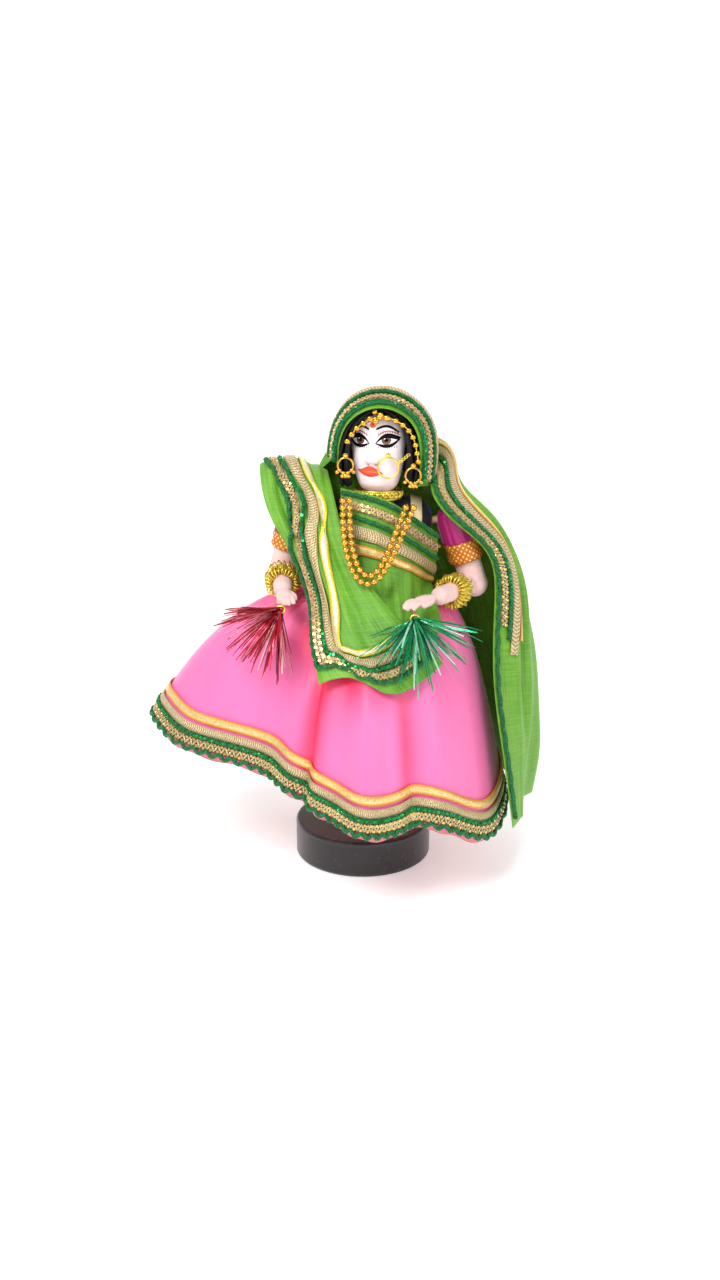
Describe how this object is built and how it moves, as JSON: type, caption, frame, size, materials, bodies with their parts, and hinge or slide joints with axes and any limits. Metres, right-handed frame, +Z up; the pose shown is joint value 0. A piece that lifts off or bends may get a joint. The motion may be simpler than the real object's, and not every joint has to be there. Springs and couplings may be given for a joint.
{
  "type": "puppet doll on stand",
  "caption": "Cloth puppet doll in a flared skirt, head veil and bead jewellery, standing on a round wooden stand and holding a tinsel bunch in each hand.",
  "frame": {"origin": "centre of the underside of the round stand", "axes": "+Z up, the doll faces -Y, so the hand on its left is on the +X side"},
  "size_m": [0.1641, 0.1265, 0.1993],
  "materials": {
    "black_stand": "satin black paint",
    "bare_wood": "turned dowel",
    "stuffed_body": "stuffed cotton over a wooden core",
    "black_velvet": "velvet",
    "gota_ribbon": "metallic woven ribbon",
    "pink_satin": "satin",
    "salmon_lining": "plain lining",
    "gold_braid": "metallic braid",
    "zigzag_lace": "zigzag lace with sequins",
    "green_cord": "chenille cord with sequins",
    "green_silk": "shot dupion silk",
    "gold_beads": "gold-plated beads",
    "painted_face": "painted face",
    "black_hair": "black fibre hair",
    "gold_wire": "bright gold",
    "pink_cloth_skin": "stuffed cotton skin",
    "magenta_sleeve": "satin",
    "brocade_cuff": "brocade",
    "gold_bangle": "curled gold wire",
    "green_foil": "cut metallic foil",
    "red_foil": "cut metallic foil"
  },
  "bodies": {
    "base": {"base_disc": "black_stand", "post": "bare_wood"},
    "figure": {"body_core": "stuffed_body", "shoulder_rod": "bare_wood", "neck_peg": "bare_wood", "blouse": "black_velvet", "blouse_strap": "gota_ribbon", "waist_cord": "pink_satin", "choker": "gold_braid", "skirt": "pink_satin", "petticoat": "salmon_lining", "hem_ribbon": "gota_ribbon", "hem_braid": "gold_braid", "hem_cord_upper": "green_cord", "hem_lace": "zigzag_lace", "hem_cord_lower": "green_cord", "pallu": "green_silk", "pallu_cord_outer": "green_cord", "pallu_lace": "zigzag_lace", "pallu_cord_inner": "green_cord", "pallu_braid": "gold_braid", "pallu_ribbon": "gota_ribbon", "pallu_cord_bottom": "green_cord", "chest_wrap": "green_silk", "wrap_cord_upper": "green_cord", "wrap_lace": "zigzag_lace", "wrap_cord_lower": "green_cord", "wrap_braid": "gold_braid", "wrap_ribbon": "gota_ribbon", "veil_back": "green_silk", "veil_cord": "green_cord", "veil_braid": "gold_braid", "necklace_inner": "gold_beads", "necklace_outer": "gold_beads"},
    "head": {"head": "painted_face", "hair": "black_hair", "hood": "green_silk", "hood_cord": "green_cord", "hood_lace": "zigzag_lace", "hood_braid": "gold_braid", "forehead_beads": "gold_beads", "hair_beads": "gold_beads", "jewel_pins": "gold_wire"},
    "left_earring": {"left_earring": "gold_wire"},
    "right_earring": {"right_earring": "gold_wire"},
    "nose_ring": {"nose_ring": "gold_wire"},
    "left_arm": {"left_upper_arm": "pink_cloth_skin", "left_sleeve": "magenta_sleeve", "left_cuff": "brocade_cuff", "left_forearm": "pink_cloth_skin", "left_hand": "pink_cloth_skin", "left_bangle": "gold_bangle", "green_tinsel": "green_foil"},
    "right_arm": {"right_upper_arm": "pink_cloth_skin", "right_sleeve": "magenta_sleeve", "right_cuff": "brocade_cuff", "right_forearm": "pink_cloth_skin", "right_hand": "pink_cloth_skin", "right_bangle": "gold_bangle", "red_tinsel": "red_foil"}
  },
  "joints": [
    {"name": "figure_turn", "type": "hinge", "parent": "base", "child": "figure", "pos_m": [0, 0, 0.06], "axis": [0, 0, 1], "continuous": true},
    {"name": "head_turn", "type": "hinge", "parent": "figure", "child": "head", "pos_m": [0.006, -0.001, 0.165], "axis": [0, 0, 1], "range_deg": [-12, 12]},
    {"name": "left_arm_lift", "type": "hinge", "parent": "figure", "child": "left_arm", "pos_m": [0.037, 0, 0.146], "axis": [-1, 0, 0], "range_deg": [0, 25]},
    {"name": "right_arm_lift", "type": "hinge", "parent": "figure", "child": "right_arm", "pos_m": [-0.0275, 0, 0.146], "axis": [-1, 0, 0], "range_deg": [0, 12]},
    {"name": "left_earring_swing", "type": "hinge", "parent": "head", "child": "left_earring", "pos_m": [0.0195, -0.014, 0.1698], "axis": [0, 1, 0], "range_deg": [-20, 20]},
    {"name": "right_earring_swing", "type": "hinge", "parent": "head", "child": "right_earring", "pos_m": [-0.007, -0.014, 0.1738], "axis": [0, 1, 0], "range_deg": [-20, 20]},
    {"name": "nose_ring_swing", "type": "hinge", "parent": "head", "child": "nose_ring", "pos_m": [0.0096, -0.017, 0.1743], "axis": [0, 1, 0], "range_deg": [-15, 15]}
  ]
}
